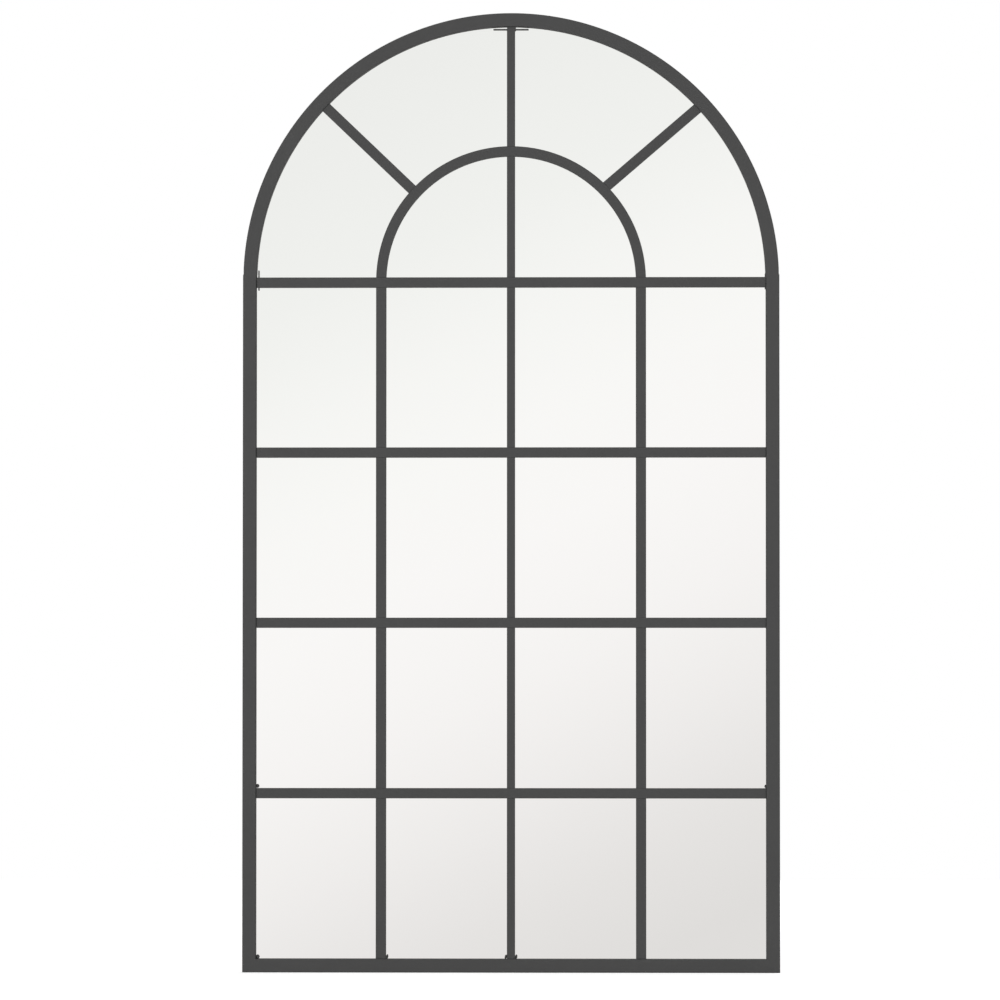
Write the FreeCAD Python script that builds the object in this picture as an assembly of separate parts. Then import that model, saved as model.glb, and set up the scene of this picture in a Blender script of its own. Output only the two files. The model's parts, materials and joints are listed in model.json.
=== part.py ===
# Arched window mirror: a welded frame of square tube, a grille of flat bars in front of one arched
# sheet of mirror glass, and two swinging D-rings on the back.
# Millimetres. +X to the right, +Y to the back, +Z up. The origin is the middle of the underside of
# the bottom rail, at the middle of the tube's depth.
import FreeCAD, Part

import math
import os

Vec = FreeCAD.Vector
ORIGIN = Vec(0, 0, 0)
Y_AXIS = Vec(0, 1, 0)

# ---------------------------------------------------------------- driving sizes
# Frame
frame_width = 1000.0
springing_height = 1287.0        # underside of the frame to the line where the arch starts
tube_face = 25.4                 # square tube, seen from the front
tube_depth = 25.4
tube_wall = 1.2
tube_corner = 2.4                # outside corner radius
tube_corner_side_count = 2       # flats that each outside corner is drawn with

# Grille
bar_width = 19.0
centre_bar_width = 15.0
bar_thickness = 6.0
bar_setback = 4.0                # front of the bars behind the front of the frame
bar_edge = 0.5                   # chamfer along the front edges
side_bar_spacing = 242.0         # centre bar to side bar, which is the inner arch's radius too
springing_bar_drop = 2.6         # middle of the springing bar below the springing line
left_spoke_angle = 43.7          # degrees above the level
left_spoke_lift = -5.0           # its centre line over the springing line, at the centre bar
right_spoke_angle = 40.6
right_spoke_lift = 24.0
end_gap = 0.5                    # weld gap between the ends of the bars and the frame
lap_gap = 0.1                    # clearance in the halved joints

# Tie plates between the grille and the frame
crown_plate_thickness = 2.0
crown_plate_length = 65.5
crown_plate_standoff = 2.8       # frame to plate
crown_block_width = 16.5
crown_block_shift = 0.75         # middle of the block to the right of the centre bar
crown_block_drop = 7.5           # frame to the underside of the block
left_plate_thickness = 2.0
left_plate_length = 37.0
left_plate_standoff = 2.4
left_plate_lift = 1.4            # middle of the plate over the springing line
right_plate_thickness = 0.6
right_plate_length = 29.0
right_plate_standoff = 0.4
right_plate_lift = -1.1

# Glass and what packs it
glazing_tape_thickness = 1.0
glazing_tape_margin = 3.0        # edge of a bar to the edge of its tape
glass_thickness = 4.0
glass_edge_gap = 0.5             # glass to tube
gasket_edge_gap = 1.5            # gasket to tube
gasket_width = 10.0
mounting_tape_thickness = 1.6
mounting_tape_width = 25.0
mounting_tape_spacing = 180.0
mounting_tape_margin = 45.0      # ends of the tape to the edge of the glass
board_thickness = 3.2
board_edge_gap = 1.5

# Retaining clips, bent from strip
clip_thickness = 1.2
clip_width = 14.0
clip_flange = 7.0                # screw to the outer end of the clip
clip_foot = 16.0                 # bearing length on the board
clip_bend = 0.8                  # chamfer inside each bend
clip_gap = 0.5                   # clip to the inner wall of the tube
clip_above_bumper = 120.0        # lowest clip of a stile to the middle of the bumper
clip_below_strap = 94.0          # highest clip of a stile to the lower end of the hanger's strap
rail_clip_offset = 250.0
arch_clip_angles = (30.0, 90.0, 150.0)

# Screws: shank diameter, length under the head, head diameter, head height
clip_screw = (3.5, 9.5, 7.0, 2.3)
hanger_screw = (4.0, 13.0, 8.0, 2.6)
screw_hole_gap = 0.5             # clearance on the diameter through a clip, strap or bumper
pilot_gap = 0.1                  # clearance on the diameter in the tube
screw_side_count = 10            # flats that screws and their holes are drawn with

# Strap hangers and their D-rings
hanger_drop = 87.0               # springing line to the rings' hinge line
strap_thickness = 1.2
strap_width = 12.0
strap_fold_angle = 60.0          # outer leg of the fold, from the back of the stile
strap_length = 46.0              # hinge line to the lower end
strap_screw_drops = (25.0, 39.0)  # hinge line to each screw, clear of the ring's bow
ring_wire = 4.0
ring_wire_side_count = 8         # flats that the round wire is drawn with
ring_width = 20.0                # between the centre lines of the ring's sides
ring_drop = 18.0                 # hinge line to the middle of the ring's bow
ring_bend = 3.0
hinge_gap = 0.1                  # clearance on the radius round the ring's bar
ring_seat_gap = 0.3              # ring at rest to strap

# Rubber bumpers
bumper_height_above_floor = 60.0
bumper_base = 20.0
bumper_tip = 17.0
bumper_height = 10.0
bumper_recess = 9.5
bumper_recess_depth = 6.0

# ---------------------------------------------------------------- places that follow
stile_middle = frame_width / 2 - tube_face / 2
clear_half = frame_width / 2 - tube_face
frame_front = -tube_depth / 2
frame_back = tube_depth / 2

grille_front = frame_front + bar_setback
grille_back = grille_front + bar_thickness
lap_plane = (grille_front + grille_back) / 2
glass_front = grille_back + glazing_tape_thickness
glass_back = glass_front + glass_thickness
board_front = glass_back + mounting_tape_thickness
board_back = board_front + board_thickness

# The springing bar and three cross bars leave four panes of equal height.
springing_bar_height = springing_height - springing_bar_drop
pane_height = (springing_bar_height - tube_face - 3.5 * bar_width) / 4
bar_pitch = pane_height + bar_width
bar_heights = {
    "springing_bar": springing_bar_height,
    "cross_bar_upper": springing_bar_height - bar_pitch,
    "cross_bar_middle": springing_bar_height - 2 * bar_pitch,
    "cross_bar_lower": springing_bar_height - 3 * bar_pitch,
}
springing_bar_top = springing_bar_height + bar_width / 2
upright_places = {
    "left_bar": (-side_bar_spacing, bar_width, springing_bar_top),
    "centre_bar": (0.0, centre_bar_width, springing_height + clear_half - crown_block_drop - lap_gap),
    "right_bar": (side_bar_spacing, bar_width, springing_bar_top),
}
left_bar_end = -clear_half + left_plate_standoff + left_plate_thickness
right_bar_end = clear_half - right_plate_standoff - right_plate_thickness

hanger_height = springing_height - hanger_drop
lowest_clip = bumper_height_above_floor + clip_above_bumper
highest_clip = hanger_height - strap_length - clip_below_strap
stile_clip_heights = (lowest_clip, (lowest_clip + highest_clip) / 2, highest_clip)

knuckle_radius = ring_wire / 2 + hinge_gap + strap_thickness
hinge_depth = frame_back + knuckle_radius
strap_back = frame_back + 2 * strap_thickness
ring_rise = strap_back + ring_seat_gap + ring_wire / 2 - hinge_depth
ring_tilt = math.degrees(math.asin(ring_rise / ring_drop))


# ---------------------------------------------------------------- shapes
def block(x_span, y_span, z_span):
    """Box between two values on each axis."""
    corner = Vec(x_span[0], y_span[0], z_span[0])
    return Part.makeBox(x_span[1] - x_span[0], y_span[1] - y_span[0], z_span[1] - z_span[0], corner)


def prism(outline, y_span):
    """Prism through the depth, from an outline of (x, z) points."""
    corners = [Vec(x, y_span[0], z) for x, z in outline]
    face = Part.Face(Part.makePolygon(corners + corners[:1]))
    return face.extrude(Vec(0, y_span[1] - y_span[0], 0))


def disc(radius, y_span):
    """Disc through the depth, round the centre of the arch."""
    centre = Vec(0, y_span[0], springing_height)
    return Part.makeCylinder(radius, y_span[1] - y_span[0], centre, Y_AXIS)


def rod(diameter, x, z, y_span):
    """Round rod through the depth."""
    return Part.makeCylinder(diameter / 2, y_span[1] - y_span[0], Vec(x, y_span[0], z), Y_AXIS)


def ngon(diameter, flats):
    """Corners of an even polygon inside a circle, with flats at its top and bottom."""
    turns = [2 * math.pi * (flat + 0.5) / flats + math.pi / 2 for flat in range(flats)]
    return [(diameter / 2 * math.cos(turn), diameter / 2 * math.sin(turn)) for turn in turns]


def screw_rod(diameter, x, z, y_span):
    """Screw's shank or head, or the hole for one."""
    return prism([(x + dx, z + dz) for dx, dz in ngon(diameter, screw_side_count)], y_span)


def turned(shape, angle, x=0.0, z=0.0):
    """Turn a shape from +X towards +Z round the depth axis, then move it."""
    placed = shape.copy()
    placed.rotate(ORIGIN, -Y_AXIS, angle)
    placed.translate(Vec(x, 0, z))
    return placed


def arched_plate(inset, y_span):
    """Plate that fills the frame's opening, less an inset all round."""
    half = clear_half - inset
    depth = y_span[0]
    left_foot = Vec(-half, depth, tube_face + inset)
    right_foot = Vec(half, depth, tube_face + inset)
    right_springing = Vec(half, depth, springing_height)
    crown = Vec(0, depth, springing_height + half)
    left_springing = Vec(-half, depth, springing_height)
    outline = Part.Wire([
        Part.makeLine(left_foot, right_foot),
        Part.makeLine(right_foot, right_springing),
        Part.Arc(right_springing, crown, left_springing).toShape(),
        Part.makeLine(left_springing, left_foot),
    ])
    return Part.Face(outline).extrude(Vec(0, y_span[1] - depth, 0))


def edges_at_front(shape, front):
    """Edges of a shape that lie wholly in one depth plane."""
    return [edge for edge in shape.Edges
            if abs(edge.BoundBox.YMin - front) < 1e-6 and abs(edge.BoundBox.YMax - front) < 1e-6]


# ---------------------------------------------------------------- frame
def tube_section():
    """Section of the square tube in the level plane, round the origin."""
    x, y = tube_face / 2 - tube_corner, tube_depth / 2 - tube_corner
    step = math.pi / 2 / tube_corner_side_count
    outside = []
    for quarter, (centre_x, centre_y) in enumerate(((x, y), (-x, y), (-x, -y), (x, -y))):
        for flat in range(tube_corner_side_count + 1):
            angle = quarter * math.pi / 2 + flat * step
            outside.append(Vec(centre_x + tube_corner * math.cos(angle),
                               centre_y + tube_corner * math.sin(angle), 0))
    x, y = tube_face / 2 - tube_wall, tube_depth / 2 - tube_wall
    bore = [Vec(x, y, 0), Vec(-x, y, 0), Vec(-x, -y, 0), Vec(x, -y, 0)]
    outlines = [Part.makePolygon(corners + corners[:1]) for corners in (outside, bore)]
    return Part.makeFace(outlines, "Part::FaceMakerBullseye")


def drilled(tube, places, diameter):
    """Holes through the tube's back wall."""
    back_wall = (frame_back - 2 * tube_wall, frame_back + tube_wall)
    for x, z in places:
        tube = tube.cut(screw_rod(diameter, x, z, back_wall))
    return tube


def beyond_mitre(side, keeps_rail):
    """What the 45 degree mitre at a lower corner takes off the stile, or off the rail."""
    margin = tube_face
    outer = side * (frame_width / 2 + margin)
    inner = side * (clear_half - margin)
    low, high = -margin, tube_face + margin
    third = (inner, low) if keeps_rail else (outer, high)
    return prism([(outer, low), third, (inner, high)], (2 * frame_front, 2 * frame_back))


def stile(side):
    section = tube_section()
    section.translate(Vec(side * stile_middle, 0, 0))
    tube = section.extrude(Vec(0, 0, springing_height))
    tube = tube.cut(beyond_mitre(side, keeps_rail=True))
    clip_holes = [(side * stile_middle, height) for height in stile_clip_heights]
    screw_holes = [(side * stile_middle, hanger_height - drop) for drop in strap_screw_drops]
    screw_holes.append((side * stile_middle, bumper_height_above_floor))
    tube = drilled(tube, clip_holes, clip_screw[0] + pilot_gap)
    return drilled(tube, screw_holes, hanger_screw[0] + pilot_gap)


def bottom_rail():
    section = tube_section()
    section.rotate(ORIGIN, Y_AXIS, 90)
    section.translate(Vec(-frame_width / 2, 0, tube_face / 2))
    tube = section.extrude(Vec(frame_width, 0, 0))
    for side in (-1, 1):
        tube = tube.cut(beyond_mitre(side, keeps_rail=False))
    holes = [(side * rail_clip_offset, tube_face / 2) for side in (-1, 1)]
    return drilled(tube, holes, clip_screw[0] + pilot_gap)


def arch_rail():
    section = tube_section()
    section.translate(Vec(stile_middle, 0, springing_height))
    tube = section.revolve(Vec(0, 0, springing_height), -Y_AXIS, 180)
    holes = [(x, z) for x, z, _ in arch_clip_places()]
    return drilled(tube, holes, clip_screw[0] + pilot_gap)


# ---------------------------------------------------------------- grille
def flat_bar(length, width):
    """Bar along +X from the origin, with its long front edges chamfered."""
    bar = block((0, length), (grille_front, grille_back), (-width / 2, width / 2))
    long_edges = [edge for edge in edges_at_front(bar, grille_front) if edge.Length > length - 1e-6]
    return bar.makeChamfer(bar_edge, long_edges)


def level_bar(height, x_from, x_to):
    """Bar across the mirror, halved at the back where the uprights cross it."""
    bar = turned(flat_bar(x_to - x_from, bar_width), 0, x_from, height)
    for x, width, _ in upright_places.values():
        half = width / 2 + lap_gap
        bar = bar.cut(block((x - half, x + half), (lap_plane, grille_back), (height - width, height + width)))
    return bar


def upright_bar(name):
    """Bar up the mirror, halved at the front where the level bars cross it."""
    x, width, top = upright_places[name]
    foot = tube_face + end_gap
    bar = turned(flat_bar(top - foot, width), 90, x, foot)
    front_half = (grille_front, lap_plane + lap_gap)
    for height in bar_heights.values():
        half = bar_width / 2 + lap_gap
        bar = bar.cut(block((x - width, x + width), front_half, (height - half, height + half)))
    return bar.cut(arch_ring(bar_width / 2 + lap_gap, front_half)) if name == "centre_bar" else bar


def arch_ring(half_width, y_span):
    """Full ring along the inner arch's centre line."""
    return disc(side_bar_spacing + half_width, y_span).cut(disc(side_bar_spacing - half_width, y_span))


def inner_arch():
    """Half ring that stands on the springing bar, halved at the back over the centre bar."""
    ring = arch_ring(bar_width / 2, (grille_front, grille_back))
    rims = [edge for edge in edges_at_front(ring, grille_front) if edge.Length > bar_width]
    ring = ring.makeChamfer(bar_edge, rims)
    reach = side_bar_spacing + bar_width
    foot = springing_bar_top + lap_gap
    ring = ring.cut(block((-reach, reach), (grille_front, grille_back), (foot - 2 * reach, foot)))
    half = centre_bar_width / 2 + lap_gap
    return ring.cut(block((-half, half), (lap_plane, grille_back), (foot, foot + reach)))


def spoke(angle, lift):
    """Slanting bar, coped at both ends to the inner arch and to the arch rail."""
    bar = turned(flat_bar(clear_half + bar_width, bar_width), angle, 0, springing_height + lift)
    depth = (grille_front, grille_back)
    bar = bar.common(disc(clear_half - end_gap, depth))
    return bar.cut(disc(side_bar_spacing + bar_width / 2 + lap_gap, depth))


def tie_plate(length, thickness, standoff, block_width, block_depth, block_shift):
    """Strip across +Z at a standoff from a wall at x = 0, on the block that ties it to the wall."""
    depth = (grille_front, grille_back)
    strip = block((standoff, standoff + thickness), depth, (-length / 2, length / 2))
    tie = block((end_gap, block_depth), depth, (block_shift - block_width / 2, block_shift + block_width / 2))
    return strip.fuse(tie).removeSplitter()


def crown_plate():
    plate = tie_plate(crown_plate_length, crown_plate_thickness, crown_plate_standoff,
                      crown_block_width, crown_block_drop, crown_block_shift)
    return turned(plate, -90, 0, springing_height + clear_half)


def springing_plates():
    """Strips at the springing line, tied to the frame level with the ends of the springing bar."""
    sides = (
        (-1, left_plate_length, left_plate_thickness, left_plate_standoff, left_plate_lift),
        (1, right_plate_length, right_plate_thickness, right_plate_standoff, right_plate_lift),
    )
    plates = []
    for side, length, thickness, standoff, lift in sides:
        plate = tie_plate(length, thickness, standoff, bar_width, standoff + thickness,
                          side * (springing_bar_drop + lift))
        plates.append(turned(plate, 0 if side < 0 else 180, side * clear_half, springing_height + lift))
    return Part.makeCompound(plates)


# ---------------------------------------------------------------- glazing
def glazing_tape():
    """Foam strips between the bars and the glass, one behind each bar."""
    depth = (grille_back, glass_front)
    half = bar_width / 2 - glazing_tape_margin
    reach = clear_half - glazing_tape_margin
    level = [block((-reach, reach), depth, (height - half, height + half)) for height in bar_heights.values()]
    ring = arch_ring(half, depth)
    ring = ring.cut(block((-reach, reach), depth, (0, springing_bar_top)))
    upright = []
    for x, width, top in upright_places.values():
        half_upright = width / 2 - glazing_tape_margin
        foot = tube_face + glazing_tape_margin
        upright.append(block((x - half_upright, x + half_upright), depth, (foot, top - glazing_tape_margin)))
    slanting = []
    for angle, lift in spoke_places():
        strip = block((0, clear_half), depth, (-half, half))
        strip = turned(strip, angle, 0, springing_height + lift).common(disc(reach, depth))
        slanting.append(strip.cut(disc(side_bar_spacing + bar_width / 2, depth)))
    upright = [strip.cut(Part.makeCompound(level + [ring])) for strip in upright]
    return Part.makeCompound(level + [ring] + upright + slanting)


def spoke_places():
    return ((180 - left_spoke_angle, left_spoke_lift), (right_spoke_angle, right_spoke_lift))


def edge_gasket():
    """Packing strip behind the edge of the glass, as thick as the mounting tape."""
    depth = (glass_back, board_front)
    return arched_plate(gasket_edge_gap, depth).cut(arched_plate(gasket_edge_gap + gasket_width, depth))


def mounting_tape():
    """Upright foam strips between the glass and the board, as long as the arch allows."""
    radius = clear_half - mounting_tape_margin
    strips = []
    for place in range(-2, 3):
        x = place * mounting_tape_spacing
        side = abs(x) + mounting_tape_width / 2
        top = springing_height + math.sqrt(radius ** 2 - side ** 2)
        x_span = (x - mounting_tape_width / 2, x + mounting_tape_width / 2)
        strips.append(block(x_span, (glass_back, board_front), (tube_face + mounting_tape_margin, top)))
    return Part.makeCompound(strips)


# ---------------------------------------------------------------- clips and screws
def arch_clip_places():
    """Middle of the tube at each clip of the arch, and the way that its foot points."""
    return [(stile_middle * math.cos(math.radians(angle)),
             springing_height + stile_middle * math.sin(math.radians(angle)),
             angle + 180) for angle in arch_clip_angles]


def clip_places():
    places = arch_clip_places()
    for height in stile_clip_heights:
        places += [(-stile_middle, height, 0), (stile_middle, height, 180)]
    for x in (-rail_clip_offset, rail_clip_offset):
        places.append((x, tube_face / 2, 90))
    return places


def retaining_clip():
    """Offset clip: flange on the back of the tube, foot on the board, along +X from its screw."""
    riser = tube_face / 2 + clip_gap
    flange_back = frame_back + clip_thickness
    foot_back = board_back + clip_thickness
    outline = [
        (-clip_flange, frame_back), (riser, frame_back), (riser, board_back),
        (riser + clip_foot, board_back), (riser + clip_foot, foot_back),
        (riser + clip_thickness, foot_back), (riser + clip_thickness, flange_back),
        (-clip_flange, flange_back),
    ]
    corners = [Vec(x, y, -clip_width / 2) for x, y in outline]
    face = Part.Face(Part.makePolygon(corners + corners[:1]))
    clip = face.extrude(Vec(0, 0, clip_width))
    outer_bend = clip_bend + (2 - math.sqrt(2)) * clip_thickness
    for index, bend_size in ((1, clip_bend), (5, clip_bend), (2, outer_bend), (6, outer_bend)):
        x, y = outline[index]
        bend = [edge for edge in clip.Edges
                if edge.Length > clip_width - 1e-6 and edge.BoundBox.Center.isEqual(Vec(x, y, 0), 1e-6)]
        clip = clip.makeChamfer(bend_size, bend)
    return clip.cut(screw_rod(clip_screw[0] + screw_hole_gap, 0, 0, (frame_back, flange_back)))


def screw(size, x, z, seat):
    """Screw with its head's underside at the depth of its seat."""
    shank, length, head, head_height = size
    pan = screw_rod(head, x, z, (seat, seat + head_height))
    return pan.fuse(screw_rod(shank, x, z, (seat - length, seat)))


def retaining_clips():
    return Part.makeCompound([turned(retaining_clip(), angle, x, z) for x, z, angle in clip_places()])


def clip_screws():
    seat = frame_back + clip_thickness
    return Part.makeCompound([screw(clip_screw, x, z, seat) for x, z, _ in clip_places()])


# ---------------------------------------------------------------- hanging
def hanger(side):
    """Strap folded round the ring's bar and laid flat on the back of the stile."""
    middle = side * stile_middle
    x_span = (middle - strap_width / 2, middle + strap_width / 2)
    x_axis = Vec(1, 0, 0)
    hinge_start = Vec(x_span[0], hinge_depth, hanger_height)
    end_middle = hanger_height - strap_length + strap_width / 2
    legs = block(x_span, (frame_back, strap_back), (end_middle, hanger_height))
    legs = legs.fuse(rod(strap_width, middle, end_middle, (frame_back, strap_back)))
    # The outer leg leaves the knuckle on its tangent and comes down to the inner leg.
    slope = math.radians(strap_fold_angle)
    tangent = Vec(x_span[0], hinge_depth + knuckle_radius * math.cos(slope),
                  hanger_height - knuckle_radius * math.sin(slope))
    landing = tangent.z - (tangent.y - strap_back) / math.tan(slope)
    web = Part.Face(Part.makePolygon([
        tangent, Vec(x_span[0], strap_back, landing), Vec(x_span[0], frame_back, landing),
        Vec(x_span[0], frame_back, hanger_height), hinge_start, tangent,
    ])).extrude(Vec(strap_width, 0, 0))
    knuckle = Part.makeCylinder(knuckle_radius, strap_width, hinge_start, x_axis)
    eye = Part.makeCylinder(ring_wire / 2 + hinge_gap, strap_width, hinge_start, x_axis)
    strap = legs.fuse([web, knuckle]).removeSplitter().cut(eye)
    hole = hanger_screw[0] + screw_hole_gap
    for drop in strap_screw_drops:
        strap = strap.cut(screw_rod(hole, middle, hanger_height - drop, (frame_back, strap_back)))
    return strap


def ring(side):
    """D-ring of round wire, hanging from its bar and resting against the strap."""
    half = ring_width / 2
    bow_middle = -(ring_drop - half)
    inner = half - ring_bend
    cut_in = ring_bend * (1 - math.sqrt(0.5))
    path = Part.Wire([
        Part.makeLine(Vec(0, 0, 0), Vec(inner, 0, 0)),
        Part.Arc(Vec(inner, 0, 0), Vec(half - cut_in, 0, -cut_in), Vec(half, 0, -ring_bend)).toShape(),
        Part.makeLine(Vec(half, 0, -ring_bend), Vec(half, 0, bow_middle)),
        Part.Arc(Vec(half, 0, bow_middle), Vec(0, 0, -ring_drop), Vec(-half, 0, bow_middle)).toShape(),
        Part.makeLine(Vec(-half, 0, bow_middle), Vec(-half, 0, -ring_bend)),
        Part.Arc(Vec(-half, 0, -ring_bend), Vec(cut_in - half, 0, -cut_in), Vec(-inner, 0, 0)).toShape(),
        Part.makeLine(Vec(-inner, 0, 0), Vec(0, 0, 0)),
    ])
    corners = [Vec(0, y, z) for y, z in ngon(ring_wire, ring_wire_side_count)]
    wire_section = Part.makePolygon(corners + corners[:1])
    solid = path.makePipeShell([wire_section], True, False)
    solid.rotate(ORIGIN, Vec(1, 0, 0), ring_tilt)
    solid.translate(Vec(side * stile_middle, hinge_depth, hanger_height))
    return solid


def hanger_screws():
    return Part.makeCompound([
        screw(hanger_screw, side * stile_middle, hanger_height - drop, strap_back)
        for side in (-1, 1) for drop in strap_screw_drops])


def bumper(side):
    """Rubber bumper with a recess for its screw."""
    x, z = side * stile_middle, bumper_height_above_floor
    tip = frame_back + bumper_height
    body = Part.makeCone(bumper_base / 2, bumper_tip / 2, bumper_height, Vec(x, frame_back, z), Y_AXIS)
    body = body.cut(rod(bumper_recess, x, z, (tip - bumper_recess_depth, tip)))
    return body.cut(screw_rod(hanger_screw[0] + screw_hole_gap, x, z, (frame_back, tip)))


def bumper_screws():
    seat = frame_back + bumper_height - bumper_recess_depth
    return Part.makeCompound([
        screw(hanger_screw, side * stile_middle, bumper_height_above_floor, seat) for side in (-1, 1)])


# ---------------------------------------------------------------- nodes
nodes = {
    "arch_rail": arch_rail(),
    "left_stile": stile(-1),
    "right_stile": stile(1),
    "bottom_rail": bottom_rail(),
    "inner_arch": inner_arch(),
    "left_spoke": spoke(*spoke_places()[0]),
    "right_spoke": spoke(*spoke_places()[1]),
    "crown_plate": crown_plate(),
    "springing_plates": springing_plates(),
    "mirror_glass": arched_plate(glass_edge_gap, (glass_front, glass_back)),
    "edge_gasket": edge_gasket(),
    "glazing_tape": glazing_tape(),
    "mounting_tape": mounting_tape(),
    "backing_board": arched_plate(board_edge_gap, (board_front, board_back)),
    "retaining_clips": retaining_clips(),
    "clip_screws": clip_screws(),
    "strap_hangers": Part.makeCompound([hanger(-1), hanger(1)]),
    "left_ring": ring(-1),
    "right_ring": ring(1),
    "hanger_screws": hanger_screws(),
    "wall_bumpers": Part.makeCompound([bumper(-1), bumper(1)]),
    "bumper_screws": bumper_screws(),
}
for bar_name, bar_height in bar_heights.items():
    ends = (-clear_half + end_gap, clear_half - end_gap)
    if bar_name == "springing_bar":
        ends = (left_bar_end, right_bar_end)
    nodes[bar_name] = level_bar(bar_height, *ends)
for upright_name in upright_places:
    nodes[upright_name] = upright_bar(upright_name)

os.makedirs("parts", exist_ok=True)
for node_name, node_shape in nodes.items():
    node_shape.exportStep(f"parts/{node_name}.step")
print(f"{len(nodes)} nodes, rings tilt {ring_tilt:.3f} degrees at rest")
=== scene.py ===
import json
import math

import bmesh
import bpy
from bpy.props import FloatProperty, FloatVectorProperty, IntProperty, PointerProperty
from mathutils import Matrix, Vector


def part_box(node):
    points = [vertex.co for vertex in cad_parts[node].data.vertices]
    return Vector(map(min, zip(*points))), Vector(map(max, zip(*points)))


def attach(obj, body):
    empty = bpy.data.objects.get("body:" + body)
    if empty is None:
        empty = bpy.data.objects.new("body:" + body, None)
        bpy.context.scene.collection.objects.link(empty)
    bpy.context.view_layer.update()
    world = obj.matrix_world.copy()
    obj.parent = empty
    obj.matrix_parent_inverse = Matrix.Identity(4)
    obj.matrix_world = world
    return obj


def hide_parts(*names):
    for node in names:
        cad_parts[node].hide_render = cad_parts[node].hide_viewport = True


bl_info = {
    "name": "Arched Window Mirror",
    "version": (1, 0, 0),
    "blender": (4, 5, 0),
    "location": "3D View > Sidebar > Window Mirror",
    "description": "Dresses the packed frame of an arched window mirror: tube, welds, glass, board and fixings",
    "category": "Object",
}

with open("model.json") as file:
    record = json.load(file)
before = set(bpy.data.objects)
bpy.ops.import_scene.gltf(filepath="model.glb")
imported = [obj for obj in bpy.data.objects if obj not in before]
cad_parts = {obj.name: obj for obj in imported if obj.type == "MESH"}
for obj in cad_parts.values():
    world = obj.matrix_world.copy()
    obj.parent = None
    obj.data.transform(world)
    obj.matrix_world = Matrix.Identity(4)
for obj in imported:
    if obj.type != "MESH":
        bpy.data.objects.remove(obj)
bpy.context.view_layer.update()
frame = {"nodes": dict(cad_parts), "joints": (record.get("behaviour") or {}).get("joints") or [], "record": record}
ROOT = "frame"
MM = 0.001


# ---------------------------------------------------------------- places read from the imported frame
def depths(node):
    """Front and back of a node."""
    low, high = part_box(node)
    return low.y, high.y


def solid_middles(node):
    """Middles of the separate solids in a node, from its own mesh, from left to right and then upwards."""
    mesh = bmesh.new()
    mesh.from_mesh(frame["nodes"][node].data)
    bmesh.ops.remove_doubles(mesh, verts=mesh.verts, dist=1e-6)
    mesh.verts.ensure_lookup_table()
    seen, boxes = set(), []
    for start in mesh.verts:
        if start in seen:
            continue
        seen.add(start)
        group, queue = [], [start]
        while queue:
            vert = queue.pop()
            group.append(vert.co.copy())
            for edge in vert.link_edges:
                other = edge.other_vert(vert)
                if other not in seen:
                    seen.add(other)
                    queue.append(other)
        boxes.append([Vector([pick(co[axis] for co in group) for axis in range(3)]) for pick in (min, max)])
    mesh.free()
    boxes.sort(key=lambda pair: (round(pair[0].x, 4), round(pair[0].z, 4)))
    return [(low + high) / 2 for low, high in boxes]


STILE_LOW, STILE_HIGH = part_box("right_stile")
TUBE = STILE_HIGH.y - STILE_LOW.y
TUBE_BACK = STILE_HIGH.y
HALF_WIDTH = STILE_HIGH.x
SPRINGING = STILE_HIGH.z
CLEAR_HALF = STILE_LOW.x
STILE_MIDDLE = (STILE_LOW.x + STILE_HIGH.x) / 2
BOARD_FRONT, BOARD_BACK = depths("backing_board")
GLASS_FRONT, GLASS_BACK = depths("mirror_glass")
BAR_FRONT, BAR_BACK = depths("cross_bar_lower")
END_GAP = 0.5 * MM               # between the ends of the bars and the tube
STRIP = 1.2 * MM                 # thickness of the clips and of the hangers' straps
LEVEL_BARS = ("springing_bar", "cross_bar_upper", "cross_bar_middle", "cross_bar_lower")
UPRIGHT_BARS = ("left_bar", "centre_bar", "right_bar")
HINGE = {joint["child"]: Vector(joint["pos_m"]) for joint in frame["joints"]}


# ---------------------------------------------------------------- settings
def length_setting(name, description, default):
    return FloatProperty(name=name, description=description, subtype="DISTANCE", unit="LENGTH", default=default)


def colour_setting(name, description, default):
    return FloatVectorProperty(
        name=name, description=description, subtype="COLOR", size=3, min=0, max=1, default=default)


class MirrorFinishSettings(bpy.types.PropertyGroup):
    coat_colour: colour_setting("Powder coat", "Colour of the steel's powder coat", (0.0445, 0.0445, 0.0445))
    coat_roughness: FloatProperty(
        name="Coat roughness", description="How matt the powder coat is", min=0, max=1, default=0.5)
    coat_grain: length_setting("Coat grain", "Width of the dimples in the powder coat", 0.0011)
    silver_colour: colour_setting("Silvering", "Tint of the mirror's reflection", (0.955, 0.96, 0.953))
    board_colour: colour_setting("Hardboard", "Colour of the backing board", (0.145, 0.072, 0.032))
    zinc_colour: colour_setting("Zinc plate", "Colour of the clips and screws", (0.58, 0.59, 0.6))
    nickel_colour: colour_setting("Nickel plate", "Colour of the hangers and rings", (0.62, 0.58, 0.51))


class MirrorTubeSettings(bpy.types.PropertyGroup):
    corner: length_setting("Corner radius", "Outside corner of the square tube", 0.0024)
    arch_steps: IntProperty(
        name="Arch steps", description="Runs that the arch is drawn with", min=16, default=128)
    arch_inset: length_setting(
        "Arch inset", "How far the bent tube stands in from the stiles where they meet", 0.0009)
    arch_rise: length_setting("Arch rise", "Centre of the arch over the top of the stiles", 0.00078)
    seam_height: length_setting("Seam height", "Weld between arch and stile, above the springing line", 0.0095)


class MirrorWeldSettings(bpy.types.PropertyGroup):
    roughness: length_setting("Bead relief", "Height of the ripples in a weld bead", 0.0006)
    seed: IntProperty(name="Seed", description="Seed of the beads' shapes", default=7)


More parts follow.
